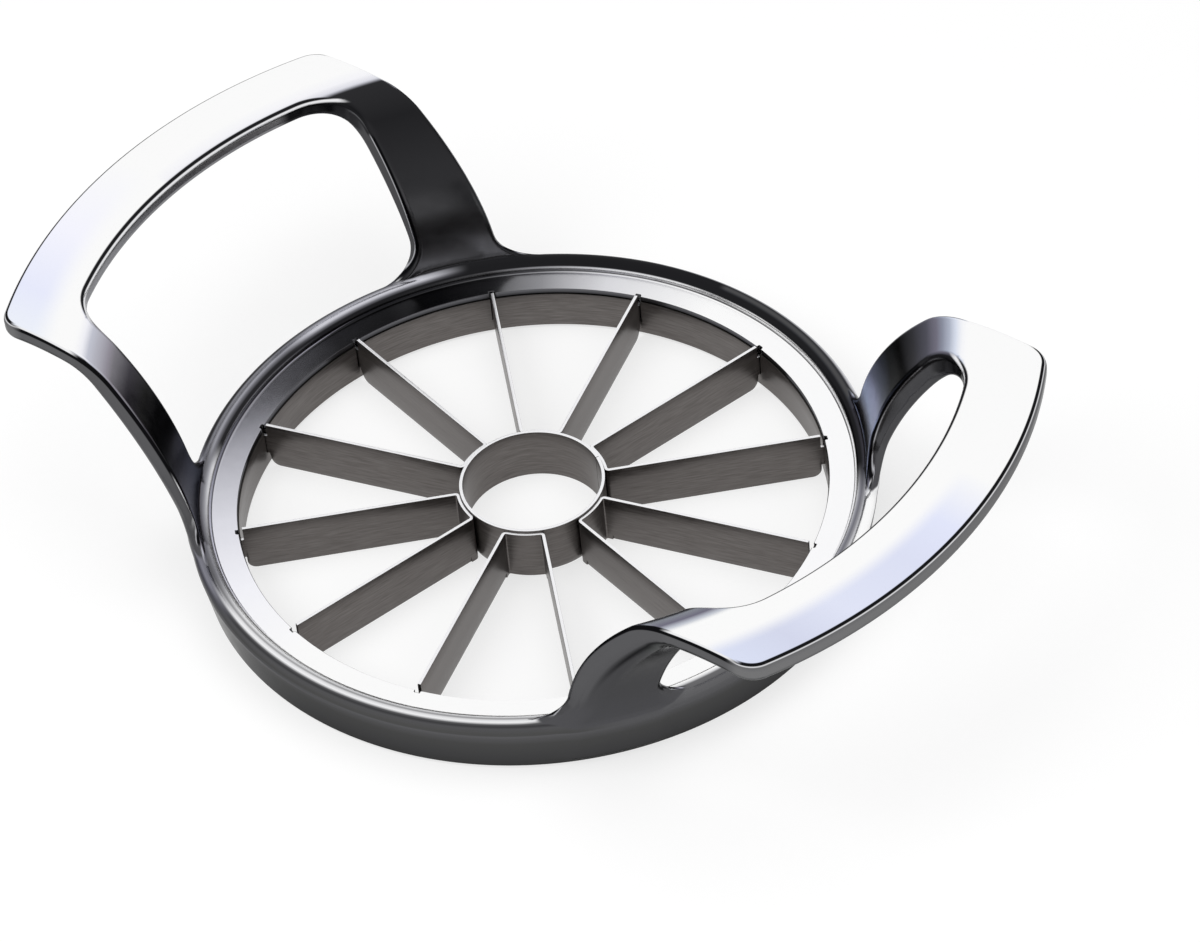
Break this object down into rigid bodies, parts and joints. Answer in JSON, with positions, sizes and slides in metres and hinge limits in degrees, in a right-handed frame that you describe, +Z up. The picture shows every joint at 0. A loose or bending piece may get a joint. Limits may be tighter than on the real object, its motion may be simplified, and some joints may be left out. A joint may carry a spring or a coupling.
{
  "type": "apple slicer",
  "caption": "Rigid hand press that cores and slices an apple: a round cast frame with raised side handles carries thin radial blades round a core ring.",
  "frame": {"origin": "centre of the ring, on the plane that the tool rests on, blades down", "axes": "+X through both grips, +Y across them, +Z up out of the resting plane towards the grips"},
  "size_m": [0.183, 0.1226, 0.0453],
  "materials": {
    "casting": "polished",
    "blade_steel": "satin"
  },
  "bodies": {
    "root": {"frame": "casting", "blade_band": "blade_steel", "core_ring": "blade_steel", "blade_pair_1": "blade_steel", "blade_pair_2": "blade_steel", "blade_pair_3": "blade_steel", "blade_pair_4": "blade_steel", "blade_pair_5": "blade_steel", "blade_pair_6": "blade_steel"}
  },
  "joints": []
}
